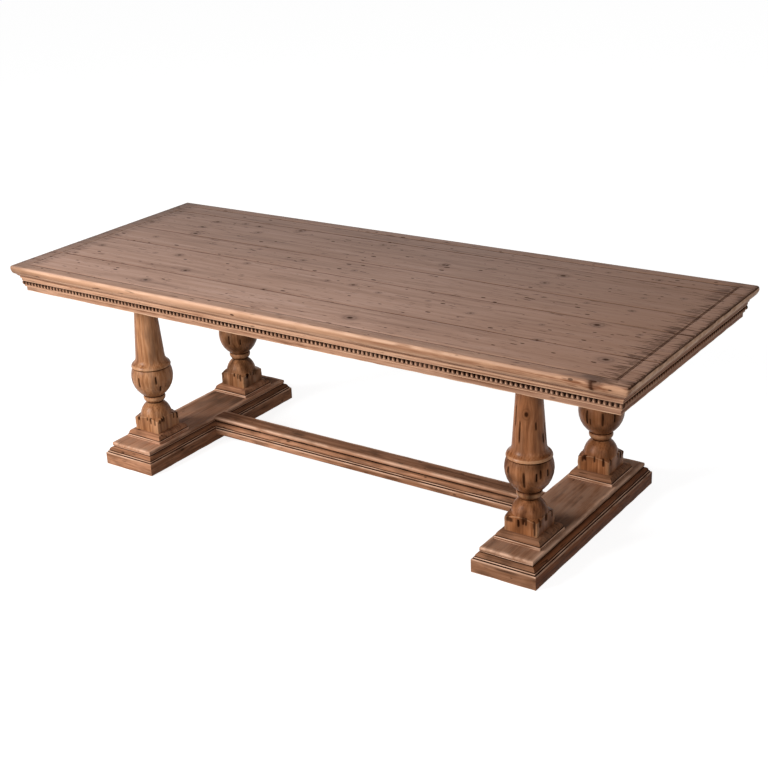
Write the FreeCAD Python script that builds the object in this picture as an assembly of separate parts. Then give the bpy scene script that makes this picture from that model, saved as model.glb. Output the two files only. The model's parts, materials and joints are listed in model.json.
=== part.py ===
import FreeCAD, Part
import math
import os

Vec = FreeCAD.Vector
middle = Vec(0, 0, 0)
up = Vec(0, 0, 1)

# Whole table: X along its length, Y towards its back, Z up, origin on the floor under its middle
table_length = 2500.0
table_width = 1000.0
table_height = 770.0
fit_gap = 0.2
overrun = 5.0
quarter_bow_share = 0.2071

# Top of five tongued planks, with a nosed edge all round and a scored border
plank_thickness = 30.0
plank_width_shares = (0.216, 0.243, 0.163, 0.254, 0.124)
tongue_thickness = 9.0
tongue_depth = 10.0
seam_chamfer = 1.4
top_arris = 4.5
nosing_face = 7.5
nosing_return = 8.4
nosing_bow_share = 0.06
border_from_side = 45.0
border_from_end = 55.0
border_width = 5.0
border_depth = 1.5

# Apron, the cornice under the planks and the carved bead strip under the cornice
apron_inset = 39.0
apron_thickness = 24.0
apron_depth = 74.0
cornice_inset = 14.8
cornice_lip = 3.0
cornice_ovolo_height = 10.5
cornice_ovolo_depth = 9.6
cornice_bow_share = 0.08
cornice_fillet_inset = 25.0
cornice_fillet_height = 7.5
bead_strip_height = 34.0
bead_strip_thickness = 5.0
bead_radius = 8.2
bead_drop = 19.0
bead_pitch = 16.6
bead_waist_share = 0.5
bead_sides = 4

# Inner frame under the planks: corner blocks, cross battens, wooden buttons
corner_block_leg = 55.0
corner_block_height = 60.0
batten_width = 60.0
batten_height = 45.0
batten_place_shares = (-0.5, 0.0, 0.5)
button_width = 32.0
button_length = 45.0
button_height = 22.0
button_tongue = 8.0
button_tongue_height = 9.0
button_place_shares = (-0.75, -0.25, 0.25, 0.75)

# Trestle head bearers
trestle_spacing = 1620.0
bearer_width = 120.0
bearer_height = 60.0
bearer_stub = 10.0
bearer_stub_height = 30.0
bearer_chamfer = 18.0

# Turned legs: square block, shoulder, dome, neck ring, bulb, collar, cove and tapered column
leg_spacing = 512.0
block_side = 120.0
block_height = 45.5
shoulder_height = 10.5
dome_height = 51.5
dome_radius = 59.5
dome_bow_share = 0.12
neck_radius = 26.0
ring_height = 27.3
ring_head_radius = 38.7
ring_bow_share = 0.3
bulb_rise = 76.2
bulb_radius = 79.5
bulb_bow_share = 0.119
bulb_fall = 43.0
bulb_head_radius = 69.5
bulb_fall_bow_share = 0.058
collar_rim_radius = 75.0
collar_height = 11.0
collar_head_radius = 70.2
collar_bow_share = 0.078
cove_height = 25.0
cove_bow_share = -0.12
column_radius = 55.5
column_head_radius = 35.5
head_tenon_radius = 24.0
foot_tenon_side = 60.0
foot_tenon_depth = 36.0
wedge_width = 34.0
wedge_depth = 40.0
wedge_thickness = 5.0
wedge_point = 1.0

# Square moulded plinth under each leg
plinth_side = 168.0
plinth_fillet_height = 10.0
plinth_quirk = 4.5
plinth_quirk_height = 2.5
plinth_ovolo_height = 16.5
plinth_top_margin = 1.5

# Base moulding shared by the two feet and the stretcher
base_face_height = 49.0
base_arris = 2.0
base_ledge = 5.5
base_fillet_height = 6.5
base_step = 4.0
base_ovolo_height = 13.5
base_ovolo_depth = 12.0
base_quirk = 1.0
base_neck_height = 6.0
cap_thickness = 13.0
cap_overhang = 3.0
cap_round = 4.0
cap_under_round = 1.5

# Feet: a core wrapped by four mitred skirts under a nosed plate
foot_width = 233.0
foot_length = 861.0
skirt_thickness = 30.0

# Stretcher between the feet, clear of the floor
stretcher_width = 111.0
stretcher_lift = 28.0
stretcher_tenon_width = 44.0
stretcher_tenon_height = 36.0
stretcher_tenon_length = 75.0
peg_side = 12.0
peg_from_shoulder = 40.0

# Levels and faces that several pieces share
plank_underside = table_height - plank_thickness
apron_face_height = plank_underside - apron_depth
cornice_underside = plank_underside - cornice_lip - cornice_ovolo_height - cornice_fillet_height
apron_inner_half_width = table_width / 2 - apron_inset - apron_thickness
apron_inner_half_length = table_length / 2 - apron_inset - apron_thickness
bearer_underside = plank_underside - bearer_height
trestle_x = trestle_spacing / 2
leg_y = leg_spacing / 2
cap_underside = base_face_height + base_fillet_height + base_ovolo_height + base_neck_height
cap_top = cap_underside + cap_thickness
cap_inset = base_ledge + base_step + base_ovolo_depth + base_quirk - cap_overhang
leg_foot = cap_top + plinth_fillet_height + plinth_quirk_height + plinth_ovolo_height
sides = {"back": 0, "left": 1, "front": 2, "right": 3}
ends = {"left": -1, "right": 1}
rows = {"front": -1, "back": 1}
pieces = {}


# Outlines and runs
def edges_through(points):
    """Edges in the YZ plane; a third number bows an edge outwards by that share of its chord."""
    edges = []
    for (y0, z0, *_), (y1, z1, *bow_share) in zip(points, points[1:]):
        start = Vec(0, y0, z0)
        end = Vec(0, y1, z1)
        if bow_share:
            crown = (start + end) / 2 + (end - start).cross(Vec(1, 0, 0)) * bow_share[0]
            edges.append(Part.Arc(start, crown, end).toShape())
        else:
            edges.append(Part.makeLine(start, end))
    return edges


def closed_face(points):
    return Part.Face(Part.Wire(edges_through(points + [points[0][:2]])))


def two_sided_face(points):
    """Face in the YZ plane from the edge of one side, mirrored and closed above and below."""
    near = edges_through(points)
    far = [edge.mirror(middle, Vec(0, 1, 0)) for edge in near]
    caps = [Part.makeLine(Vec(0, -y, z), Vec(0, y, z)) for y, z, *_ in (points[0], points[-1])]
    return Part.Face(Part.Wire(Part.sortEdges(near + far + caps)[0]))


def run_along_x(face, half_run):
    return face.translated(Vec(-half_run, 0, 0)).extrude(Vec(2 * half_run, 0, 0))


def quarter_turns(shape, count):
    return shape.rotated(middle, up, 90 * count)


def block(size_x, size_y, low, high, at_x=0, at_y=0):
    """Upright box centred over a place, between two levels."""
    return Part.makeBox(size_x, size_y, high - low, Vec(at_x - size_x / 2, at_y - size_y / 2, low))


def edged_slab(profile, half_x, half_y):
    """Slab whose four edges carry one profile of insets and heights."""
    along_x = run_along_x(two_sided_face([(half_y - inset, *rest) for inset, *rest in profile]), half_x)
    along_y = run_along_x(two_sided_face([(half_x - inset, *rest) for inset, *rest in profile]), half_y)
    return along_x.common(quarter_turns(along_y, 1))


def mitre(half_run, half_depth):
    """Plan of one side of a frame between two 45 degree cuts, raised through the whole table."""
    deep = min(half_run, half_depth) / 2
    outer = ((-half_run, half_depth), (half_run, half_depth))
    inner = ((half_run - deep, half_depth - deep), (deep - half_run, half_depth - deep))
    plan = [Vec(x, y, -overrun) for x, y in outer + inner + outer[:1]]
    return Part.Face(Part.makePolygon(plan)).extrude(up * (table_height + 2 * overrun))


def mitred_frame(strip_at, half_x, half_y):
    """Four strips round a rectangle, mitred where they meet."""
    frame = {}
    for side, count in sides.items():
        half_run, half_depth = (half_y, half_x) if count % 2 else (half_x, half_y)
        strip = strip_at(half_run, half_depth).common(mitre(half_run, half_depth))
        frame[side] = quarter_turns(strip, count)
    return frame


def profiled(outline):
    """Maker of a straight strip from an outline of insets and heights."""

    def strip_at(half_run, half_depth):
        return run_along_x(closed_face([(half_depth - inset, *rest) for inset, *rest in outline]), half_run)

    return strip_at


# Planks
top_profile = [
    (nosing_return, plank_underside),
    (0, table_height - top_arris - nosing_face, nosing_bow_share),
    (0, table_height - top_arris),
    (top_arris, table_height, quarter_bow_share),
]
slab = edged_slab(top_profile, table_length / 2, table_width / 2)
border_outer_x = table_length - 2 * border_from_end
border_outer_y = table_width - 2 * border_from_side
border_floor = table_height - border_depth
border = block(border_outer_x, border_outer_y, border_floor, table_height + overrun)
border = border.cut(
    block(
        border_outer_x - 2 * border_width,
        border_outer_y - 2 * border_width,
        border_floor - overrun,
        table_height + 2 * overrun,
    )
)
slab = slab.cut(border)
tongue_low = plank_underside + (plank_thickness - tongue_thickness) / 2
tongue_high = tongue_low + tongue_thickness
front = -table_width / 2
seams = [front + table_width * sum(plank_width_shares[:count]) for count in range(len(plank_width_shares) + 1)]
for number, (y0, y1) in enumerate(zip(seams, seams[1:]), 1):
    first = number == 1
    last = number == len(plank_width_shares)
    if first:
        front_edge = [(y0 - overrun, table_height), (y0 - overrun, plank_underside)]
    else:
        groove = y0 + tongue_depth + fit_gap
        front_edge = [
            (y0 + seam_chamfer, table_height),
            (y0, table_height - seam_chamfer),
            (y0, tongue_high + fit_gap),
            (groove, tongue_high + fit_gap),
            (groove, tongue_low - fit_gap),
            (y0, tongue_low - fit_gap),
            (y0, plank_underside),
        ]
    if last:
        back_edge = [(y1 + overrun, plank_underside), (y1 + overrun, table_height)]
    else:
        back_edge = [
            (y1, plank_underside),
            (y1, tongue_low),
            (y1 + tongue_depth, tongue_low),
            (y1 + tongue_depth, tongue_high),
            (y1, tongue_high),
            (y1, table_height - seam_chamfer),
            (y1 - seam_chamfer, table_height),
        ]
    board = run_along_x(closed_face(front_edge + back_edge), table_length / 2)
    pieces[f"plank_{number}"] = slab.common(board)

# Apron boards, cornice and bead strips
apron_outline = [
    (apron_inset + apron_thickness, apron_face_height),
    (apron_inset, apron_face_height),
    (apron_inset, plank_underside),
    (apron_inset + apron_thickness, plank_underside),
]
aprons = mitred_frame(profiled(apron_outline), table_length / 2, table_width / 2)
ovolo_low = cornice_underside + cornice_fillet_height
cornice_outline = [
    (apron_inset, cornice_underside),
    (cornice_fillet_inset, cornice_underside),
    (cornice_fillet_inset, ovolo_low),
    (cornice_inset + cornice_ovolo_depth, ovolo_low),
    (cornice_inset, ovolo_low + cornice_ovolo_height, cornice_bow_share),
    (cornice_inset, plank_underside),
    (apron_inset, plank_underside),
]
for side, strip in mitred_frame(profiled(cornice_outline), table_length / 2, table_width / 2).items():
    pieces[f"cornice_{side}"] = strip

bead_inset = apron_inset - bead_strip_thickness
bead_level = cornice_underside - bead_drop
strip_low = cornice_underside - bead_strip_height


def polygon(points):
    return Part.Face(Part.makePolygon(points + points[:1]))


def beaded(half_run, half_depth):
    """Flat-backed strip with a row of carved beads, one of them on each corner."""
    back_y = half_depth - apron_inset
    face_y = half_depth - bead_inset
    half_row = half_run - bead_inset
    count = round(2 * half_row / bead_pitch)
    half_pitch = half_row / count
    angles = [math.pi * (side / bead_sides - 1 / 2) for side in range(bead_sides + 1)]
    rings = []
    for step in range(2 * count + 3):
        radius = bead_radius if step % 2 else bead_radius * bead_waist_share
        ring_x = (step - 1) * half_pitch - half_row
        rings.append(
            [Vec(ring_x, face_y + radius * math.cos(a), bead_level + radius * math.sin(a)) for a in angles]
        )
    faces = []
    for ring, following in zip(rings, rings[1:]):
        for side in range(bead_sides):
            faces.append(polygon([ring[side], ring[side + 1], following[side + 1], following[side]]))
    x0 = rings[0][0].x
    x1 = rings[-1][0].x
    back_low = [Vec(x0, back_y, strip_low), Vec(x1, back_y, strip_low)]
    face_low = [Vec(x0, face_y, strip_low), Vec(x1, face_y, strip_low)]
    face_high = [Vec(x0, face_y, cornice_underside), Vec(x1, face_y, cornice_underside)]
    back_high = [Vec(x0, back_y, cornice_underside), Vec(x1, back_y, cornice_underside)]
    faces.append(polygon(back_low + face_low[::-1]))
    faces.append(polygon(back_high + face_high[::-1]))
    faces.append(polygon(back_low + back_high[::-1]))
    faces.append(polygon(face_low + [ring[0] for ring in rings[::-1]]))
    faces.append(polygon(face_high + [ring[-1] for ring in rings[::-1]]))
    for end, ring in ((0, rings[0]), (1, rings[-1])):
        faces.append(polygon([back_low[end], face_low[end]] + ring + [face_high[end], back_high[end]]))
    shell = Part.makeShell(faces)
    shell.sewShape()
    solid = Part.makeSolid(shell)
    return solid if solid.Volume > 0 else solid.reversed()


for side, strip in mitred_frame(beaded, table_length / 2, table_width / 2).items():
    pieces[f"bead_strip_{side}"] = strip

# Corner blocks, cross battens and the buttons that hold the planks to the apron
corner_plan = ((0, 0), (corner_block_leg, 0), (0, corner_block_leg), (0, 0))
block_low = plank_underside - corner_block_height
for name, sign_x in ends.items():
    for row, sign_y in rows.items():
        corner = Vec(sign_x * apron_inner_half_length, sign_y * apron_inner_half_width, block_low)
        plan = [corner - Vec(sign_x * x, sign_y * y, 0) for x, y in corner_plan]
        pieces[f"corner_block_{row}_{name}"] = Part.Face(Part.makePolygon(plan)).extrude(up * corner_block_height)
for number, share in enumerate(batten_place_shares, 1):
    pieces[f"cross_batten_{number}"] = block(
        batten_width,
        2 * apron_inner_half_width,
        plank_underside - batten_height,
        plank_underside,
        at_x=share * trestle_x,
    )
groove_high = plank_underside - button_height / 2
groove_low = groove_high - button_tongue_height
buttons = []
for row, sign_y in rows.items():
    apron = aprons[row]
    for share in button_place_shares:
        at_x = share * trestle_x
        body_y = sign_y * (apron_inner_half_width - button_length / 2)
        body = block(button_width, button_length, plank_underside - button_height, plank_underside, at_x, body_y)
        tongue_y = sign_y * apron_inner_half_width
        tongue = block(button_width, 2 * button_tongue, groove_low + fit_gap, groove_high - fit_gap, at_x, tongue_y)
        buttons.append(body.fuse(tongue).removeSplitter())
        socket_width = button_width + 2 * fit_gap
        socket_depth = 2 * button_tongue + 2 * fit_gap
        apron = apron.cut(block(socket_width, socket_depth, groove_low, groove_high, at_x, tongue_y))
    aprons[row] = apron
pieces["plank_buttons"] = Part.Compound(buttons)

# Trestle head bearers, stub-tenoned into the long aprons
stub_low = plank_underside - bearer_stub_height
bearer_profile = [
    (-apron_inner_half_width, plank_underside),
    (-apron_inner_half_width, bearer_underside + bearer_chamfer),
    (bearer_chamfer - apron_inner_half_width, bearer_underside),
    (apron_inner_half_width - bearer_chamfer, bearer_underside),
    (apron_inner_half_width, bearer_underside + bearer_chamfer),
    (apron_inner_half_width, plank_underside),
]
head_bore_radius = head_tenon_radius + fit_gap
for name, sign_x in ends.items():
    bearer = run_along_x(closed_face(bearer_profile), bearer_width / 2)
    stub_width = bearer_width / 2
    stub_length = 2 * (apron_inner_half_width + bearer_stub)
    bearer = bearer.fuse(block(stub_width, stub_length, stub_low, plank_underside)).removeSplitter()
    for sign_y in rows.values():
        bore = Part.makeCylinder(
            head_bore_radius, bearer_height + 2 * overrun, Vec(0, sign_y * leg_y, bearer_underside - overrun)
        )
        bearer = bearer.cut(bore)
    pieces[f"bearer_{name}"] = bearer.translated(Vec(sign_x * trestle_x, 0, 0))
    for row, sign_y in rows.items():
        mortise_y = sign_y * apron_inner_half_width
        mortise_depth = 2 * (bearer_stub + fit_gap)
        mortise = block(
            stub_width + 2 * fit_gap,
            mortise_depth,
            stub_low - fit_gap,
            plank_underside + overrun,
            sign_x * trestle_x,
            mortise_y,
        )
        aprons[row] = aprons[row].cut(mortise)
for side, apron in aprons.items():
    pieces[f"apron_{side}"] = apron

# Turned legs on square blocks
block_top = leg_foot + block_height
shoulder_top = block_top + shoulder_height
dome_top = shoulder_top + dome_height
ring_top = dome_top + ring_height
bulb_belly = ring_top + bulb_rise
bulb_top = bulb_belly + bulb_fall
collar_top = bulb_top + collar_height
column_foot = collar_top + cove_height
turning = [
    (0, shoulder_top),
    (dome_radius, shoulder_top),
    (neck_radius, dome_top, dome_bow_share),
    (ring_head_radius, ring_top, ring_bow_share),
    (bulb_radius, bulb_belly, bulb_bow_share),
    (bulb_head_radius, bulb_top, bulb_fall_bow_share),
    (collar_rim_radius, bulb_top),
    (collar_head_radius, collar_top, collar_bow_share),
    (column_radius, column_foot, cove_bow_share),
    (column_head_radius, bearer_underside),
    (head_tenon_radius, bearer_underside),
    (head_tenon_radius, plank_underside - fit_gap),
    (0, plank_underside - fit_gap),
]
column = closed_face(turning).revolve(middle, up, 360)
corner_radius = math.hypot(block_side, block_side) / 2
shoulder = [
    (0, leg_foot),
    (corner_radius, leg_foot),
    (corner_radius, block_top),
    (dome_radius, shoulder_top),
    (0, shoulder_top),
]
pommel = closed_face(shoulder).revolve(middle, up, 360)
pommel = pommel.common(block(block_side, block_side, leg_foot, shoulder_top))
tenon_low = cap_underside - foot_tenon_depth
foot_tenon = block(foot_tenon_side, foot_tenon_side, tenon_low, leg_foot)
kerf_high = plank_underside + overrun
wedge_top = plank_underside - fit_gap
wedge_low = wedge_top - wedge_depth
wedge_profile = [
    (-wedge_point / 2, wedge_low),
    (wedge_point / 2, wedge_low),
    (wedge_thickness / 2, wedge_top),
    (-wedge_thickness / 2, wedge_top),
]
wedge = run_along_x(closed_face(wedge_profile), wedge_width / 2)
leg = column.fuse(pommel).fuse(foot_tenon).removeSplitter().cut(wedge)
wedges = []
for name, sign_x in ends.items():
    for row, sign_y in rows.items():
        place = Vec(sign_x * trestle_x, sign_y * leg_y, 0)
        pieces[f"leg_{row}_{name}"] = leg.translated(place)
        wedges.append(wedge.translated(place))
pieces["leg_wedges"] = Part.Compound(wedges)

# Moulded plinths under the legs
quirk_level = cap_top + plinth_fillet_height
plinth_head_inset = (plinth_side - block_side) / 2 - plinth_top_margin
plinth_profile = [
    (0, cap_top),
    (0, quirk_level),
    (plinth_quirk, quirk_level),
    (plinth_quirk, quirk_level + plinth_quirk_height),
    (plinth_head_inset, leg_foot, quarter_bow_share),
]
socket_side = foot_tenon_side + 2 * fit_gap
socket = block(socket_side, socket_side, tenon_low - fit_gap, leg_foot + overrun)
plinth = edged_slab(plinth_profile, plinth_side / 2, plinth_side / 2).cut(socket)
for name, sign_x in ends.items():
    for row, sign_y in rows.items():
        pieces[f"leg_plinth_{row}_{name}"] = plinth.translated(Vec(sign_x * trestle_x, sign_y * leg_y, 0))


# Feet
def base_profile(low):
    """Side of the shared base moulding from its lower edge to the underside of the cap."""
    fillet_inset = base_ledge
    ovolo_inset = base_ledge + base_step
    neck_inset = ovolo_inset + base_ovolo_depth
    fillet_top = base_face_height + base_fillet_height
    ovolo_top = fillet_top + base_ovolo_height
    return [
        (0, low),
        (0, base_face_height - base_arris),
        (base_arris, base_face_height, quarter_bow_share),
        (fillet_inset, base_face_height),
        (fillet_inset, fillet_top),
        (ovolo_inset, fillet_top),
        (neck_inset, ovolo_top, quarter_bow_share),
        (neck_inset + base_quirk, ovolo_top),
        (neck_inset + base_quirk, cap_underside),
    ]


cap_profile = [
    (cap_inset + cap_under_round, cap_underside),
    (cap_inset, cap_underside + cap_under_round, quarter_bow_share),
    (cap_inset, cap_top - cap_round),
    (cap_inset + cap_round, cap_top, quarter_bow_share),
]
skirt_outline = base_profile(0) + [(skirt_thickness, cap_underside), (skirt_thickness, 0)]
core_width = foot_width - 2 * skirt_thickness
core_length = foot_length - 2 * skirt_thickness
tenon_middle = (stretcher_lift + cap_underside) / 2
tenon_floor = tenon_middle - stretcher_tenon_height / 2
tenon_roof = tenon_middle + stretcher_tenon_height / 2
shoulder_x = trestle_x - foot_width / 2
tenon_end = shoulder_x + stretcher_tenon_length
tenon_hole = block(
    2 * (tenon_end + fit_gap),
    stretcher_tenon_width + 2 * fit_gap,
    tenon_floor - fit_gap,
    tenon_roof + fit_gap,
)
peg_x = shoulder_x + peg_from_shoulder
pegs = [block(peg_side, peg_side, 0, tenon_roof, sign_x * peg_x) for sign_x in ends.values()]
peg_hole_side = peg_side + 2 * fit_gap
peg_holes = [
    block(peg_hole_side, peg_hole_side, -overrun, tenon_roof + fit_gap, sign_x * peg_x) for sign_x in ends.values()
]
leg_sockets = [socket.translated(Vec(0, sign_y * leg_y, 0)) for sign_y in rows.values()]
for name, sign_x in ends.items():
    place = Vec(sign_x * trestle_x, 0, 0)
    sockets = [hole.translated(place) for hole in leg_sockets]
    plate = edged_slab(cap_profile, foot_width / 2, foot_length / 2).translated(place)
    pieces[f"foot_plate_{name}"] = plate.cut(sockets)
    core = block(core_width, core_length, 0, cap_underside, sign_x * trestle_x)
    pieces[f"foot_core_{name}"] = core.cut(sockets + [tenon_hole] + peg_holes)
    for side, skirt in mitred_frame(profiled(skirt_outline), foot_width / 2, foot_length / 2).items():
        pieces[f"foot_skirt_{side}_{name}"] = skirt.translated(place).cut([tenon_hole] + peg_holes)

# Stretcher, scribed over the mouldings of both feet and tenoned into their cores
half_stretcher = stretcher_width / 2
beam_profile = base_profile(stretcher_lift) + cap_profile
beam = run_along_x(two_sided_face([(half_stretcher - inset, *rest) for inset, *rest in beam_profile]), trestle_x)
foot_profile = base_profile(0) + cap_profile
foot_form = run_along_x(
    two_sided_face([(foot_width / 2 - inset, *rest) for inset, *rest in foot_profile]), stretcher_width
)
for sign_x in ends.values():
    beam = beam.cut(quarter_turns(foot_form, 1).translated(Vec(sign_x * trestle_x, 0, 0)))
tenon = block(2 * tenon_end, stretcher_tenon_width, tenon_floor, tenon_roof)
pieces["stretcher"] = beam.fuse(tenon).removeSplitter().cut(peg_holes)
pieces["stretcher_pegs"] = Part.Compound(pegs)

os.makedirs("parts", exist_ok=True)
for name, shape in pieces.items():
    shape.exportStep(f"parts/{name}.step")
    print(name, len(shape.Solids), round(shape.Volume), shape.isValid())
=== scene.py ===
# %% [markdown]
# # A refectory table in reclaimed pine
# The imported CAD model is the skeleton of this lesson: fifty named solids, already in their places.
# Each solid that shows is dressed here by a finer mesh in the same place, with worn arrises,
# carved beads, chisel marks and a waxed pine finish. The hidden joinery keeps its CAD mesh.

# %% Load the frame
import json
import math
import random
from functools import partial

import bmesh
import bpy
import numpy as np
from mathutils import Matrix, Vector, noise

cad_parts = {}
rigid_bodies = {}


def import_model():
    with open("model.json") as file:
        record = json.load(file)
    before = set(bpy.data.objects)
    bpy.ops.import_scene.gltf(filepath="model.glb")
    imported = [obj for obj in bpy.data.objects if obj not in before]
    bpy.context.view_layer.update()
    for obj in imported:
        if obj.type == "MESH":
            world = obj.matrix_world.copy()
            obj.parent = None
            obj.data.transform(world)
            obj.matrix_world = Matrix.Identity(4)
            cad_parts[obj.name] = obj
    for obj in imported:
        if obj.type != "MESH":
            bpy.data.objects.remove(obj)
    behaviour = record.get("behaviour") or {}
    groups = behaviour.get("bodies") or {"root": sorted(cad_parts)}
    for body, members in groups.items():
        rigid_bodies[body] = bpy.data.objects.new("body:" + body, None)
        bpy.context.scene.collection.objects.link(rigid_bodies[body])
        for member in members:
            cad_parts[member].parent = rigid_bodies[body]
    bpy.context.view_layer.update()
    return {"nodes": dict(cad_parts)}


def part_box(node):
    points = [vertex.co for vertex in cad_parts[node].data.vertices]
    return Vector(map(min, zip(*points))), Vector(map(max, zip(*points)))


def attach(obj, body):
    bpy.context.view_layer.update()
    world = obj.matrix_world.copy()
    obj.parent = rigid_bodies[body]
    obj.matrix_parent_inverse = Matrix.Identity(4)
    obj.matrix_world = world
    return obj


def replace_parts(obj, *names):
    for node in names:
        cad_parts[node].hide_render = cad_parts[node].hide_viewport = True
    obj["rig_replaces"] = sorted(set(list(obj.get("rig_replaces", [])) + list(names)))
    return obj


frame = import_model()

MM = 0.001

# %% [markdown]
# ## Camera
# The photograph was taken from the right front, a little above eye height. A camera can be placed by eye, but
# here its place, lens and slight lean were worked out from the corners of the top and the feet, so every
# edge lands where the photograph has it. A new camera looks straight down, and three turns aim it.

# %% Camera
def placed(name, data):
    """An object with this data, linked into the scene."""
    thing = bpy.data.objects.new(name, data)
    bpy.context.scene.collection.objects.link(thing)
    return thing


CAMERA_PLACE = (2.71878, -3.74545, 2.25234)
# Turned aside from the front, tilted up from straight down, and leaning, in degrees
aside, tilt, lean = (math.radians(angle) for angle in (36.95, 68.30, -3.21))
axes = Matrix.Rotation(aside, 4, "Z") @ Matrix.Rotation(tilt, 4, "X") @ Matrix.Rotation(lean, 4, "Z")
camera = placed("camera", bpy.data.cameras.new("camera"))
camera.matrix_world = Matrix.Translation(CAMERA_PLACE) @ axes
camera.data.sensor_width = 36
camera.data.lens = 64.97
camera.data.shift_x = 0.0544
camera.data.shift_y = -0.0164
bpy.context.scene.camera = camera
print("camera at", [round(v, 2) for v in camera.location])

# %% [markdown]
# ## Pine
# The table is old softwood that was stained, rubbed back and waxed. Three things make it read as pine:
# growth lines, small pits, dashes and knots, and a finish that is pale where hands rub it and nearly black
# where dirt stays. A picture of wood could be laid on each board, but it would blur close up and repeat. So
# one function builds the pattern for every board, from a `grain` attribute in metres along, across and
# through the board, and the grain follows each piece. Three more attributes say where an arris is worn,
# with a painted highlight on some, where dirt and painted shade darken the wood, and how far the next knot
# is.


# %% Colours and nodes
def linear(colour):
    """Linear colour from an sRGB hex string."""
    values = [int(colour[i : i + 2], 16) / 255 for i in (1, 3, 5)]
    return (*[v / 12.92 if v <= 0.04045 else ((v + 0.055) / 1.055) ** 2.4 for v in values], 1)


def put(tree, kind, inputs=(), out=0, **settings):
    """Adds a node, such as "Math ADD", sets or links its inputs, and gives back one of its outputs."""
    kind, *operation = kind.split()
    node = tree.nodes.new(kind if "Node" in kind else f"ShaderNode{kind}")
    if operation:
        node.operation = operation[0]
    for key, value in settings.items():
        setattr(node, key, value)
    for key, value in inputs.items() if isinstance(inputs, dict) else enumerate(inputs):
        if isinstance(value, bpy.types.NodeSocket):
            tree.links.new(value, node.inputs[key])
        else:
            node.inputs[key].default_value = value
    return node.outputs[out] if len(node.outputs) else None


def emptied(holder):
    """Clears the node tree of a material or a world, and gives back `put` for it."""
    holder.use_nodes = True
    holder.node_tree.nodes.clear()
    return partial(put, holder.node_tree)


# %% Numbers of the pattern
# Size in mm along and across the grain, and detail, of what varies in the wood. Real fibres are finer than
# that, and real growth lines are 2 to 4 mm apart. Both are drawn as coarse as they need to be to show.
VARIES = {
    "drift": (770, 165, 2), "clouds": (520, 110, 3), "streaks": (420, 16, 3), "fibres": (140, 4.5, 4),
    "patches": (90, 32, 2), "dashes": (60, 6.5, 1), "fringe": (80, 4.5, 2),
}
TONE_SHARES = {"clouds": 0.3, "streaks": 0.45, "fibres": 0.25}
LINE_DRIFT, LINE_SHARE = 0.16, -0.02  # drift of the growth lines in metres, and their share of the tone
PIT_CELL = (62, 27, 27)  # mm from pit to pit, along, across and through the grain
KNOT_RAGGED, KNOT_RING = 0.8, 1.75  # in radii of the knot
FIBRE_HEIGHT, MARK_HEIGHT, RELIEF = 0.5, -0.6, 0.8 * MM
# Marks of a top along X or Y: from and to in metres, then the amount at each end
TOP_RANGES = {
    # The first range paints light: the top is brighter towards the front, nearer the lamps, and darker
    # towards the back
    "painted_light_front": ("Y", -0.5, 0.5, 1.52, 0.84), "dull_left": ("X", -1.25, -1.13, 0.55, 1.0),
    "warm_right": ("X", 0.3, 1.2, 0.0, 0.6), "rusty_right": ("X", 0.5, 1.15, 0.2, 1.0),
    "dull_tip": ("X", -1.25, -1.02, 0.6, 1.0), "border": ("Y", -0.45, -0.456, 0.0, 0.35),
    "spill_along": ("X", 1.02, 1.12), "spill_across": ("Y", -0.44, -0.456),
}
# Dark fringes by the distance from the table's middle, and less of them at the left end
FRINGES = ((1.09, 1.19, 0.21), (1.197, 1.207, -0.12), (1.22, 1.25, 0.13))
LEFT_FRINGE = (-1.0, -1.1, -0.09)
UNEVEN_EDGE = 0.012
WARM, RUST = "#8F6448", "#744429"
print("patterns in the wood:", list(VARIES))


# %% Age of a top
def top_age(add, spot, field, stained, grime_and_shade):
    """Brightness of a top, where light is painted brighter towards the front, and duller at the left end; its
    dark fringes; and the layers of its age from the lowest up: warmth, fringes, the stained border strip, a
    spill on that strip, and the stained edge."""
    amount = {}
    for title, (way, *values) in TOP_RANGES.items():
        amount[title] = add("MapRange", [spot[way], *values])
    pale = add("Math MULTIPLY", [amount["painted_light_front"], amount["dull_left"]])
    reach = add("Math ABSOLUTE", [spot["X"]])
    fringe = field["fringe"]
    for value, start, end, most in (*((reach, *values) for values in FRINGES), (spot["X"], *LEFT_FRINGE)):
        rise = add("MapRange", [value, start, end, 0.0, most], interpolation_type="SMOOTHSTEP")
        fringe = add("Math ADD", [fringe, rise])
    fringe = add("MapRange", [fringe, 0.66, 0.72, 0.0, 0.7])
    rust = add("Math ADD", [field["patches"], field["fibres"]])
    rust = add("MapRange", [rust, 0.94, 1.13])
    rust = add("Math MULTIPLY", [rust, amount["rusty_right"]])
    stained = add("Mix", {0: rust, 6: stained, 7: linear(RUST)}, 2, data_type="RGBA")
    stained = add("VectorMath SCALE", {0: stained, "Scale": amount["dull_tip"]})
    spill = add("MapRange", [field["patches"], 0.36, 0.64, 0.0, 0.65])
    for share in ("spill_along", "spill_across"):
        spill = add("Math MULTIPLY", [spill, amount[share]])
    below = add("Math MULTIPLY_ADD", [field["patches"], UNEVEN_EDGE, spot["Z"]])
    below = add("MapRange", [below, 0.7728, 0.7705])
    layers = [(amount["warm_right"], linear(WARM)), (fringe, linear(grime_and_shade)), (amount["border"], stained)]
    return pale, fringe, layers + [(spill, linear(grime_and_shade)), (below, stained)]


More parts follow.
